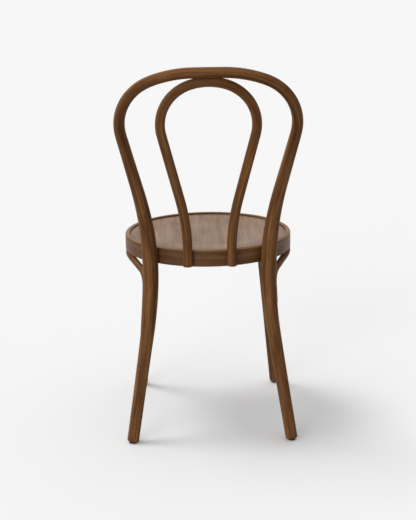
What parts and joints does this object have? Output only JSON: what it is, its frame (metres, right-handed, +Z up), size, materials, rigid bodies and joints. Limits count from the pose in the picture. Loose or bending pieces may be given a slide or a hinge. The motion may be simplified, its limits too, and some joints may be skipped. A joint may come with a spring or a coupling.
{
  "type": "bentwood bistro chair",
  "caption": "Bentwood bistro chair: steam-bent hoop and rear legs in one rod, an inner back loop, a round ring seat with a plywood panel, turned front legs and bow braces.",
  "frame": {"origin": "on the floor, under the middle of the chair's outline seen from above", "axes": "+Z up; the sitter faces -Y, so the back is at +Y; +X is the chair's left when seen from behind"},
  "size_m": [0.4214, 0.4936, 0.89],
  "materials": {
    "stained_beech": "walnut stain under satin lacquer",
    "seat_veneer": "walnut-stained veneer under satin lacquer",
    "zinc_steel": "zinc plated",
    "glide_plastic": "matte"
  },
  "bodies": {
    "root": {"back_frame": "stained_beech", "inner_loop": "stained_beech", "seat_ring": "stained_beech", "front_leg_left": "stained_beech", "front_leg_right": "stained_beech", "side_brace_left": "stained_beech", "side_brace_right": "stained_beech", "seat_panel": "seat_veneer", "frame_bolts": "zinc_steel", "frame_washers": "zinc_steel", "frame_inserts": "zinc_steel", "loop_foot_screws": "zinc_steel", "loop_top_screws": "zinc_steel", "brace_ring_screws": "zinc_steel", "brace_leg_screws": "zinc_steel", "front_leg_screws": "zinc_steel", "glide_nails": "zinc_steel", "foot_glide_rear_left": "glide_plastic", "foot_glide_rear_right": "glide_plastic", "foot_glide_front_left": "glide_plastic", "foot_glide_front_right": "glide_plastic"}
  },
  "joints": []
}
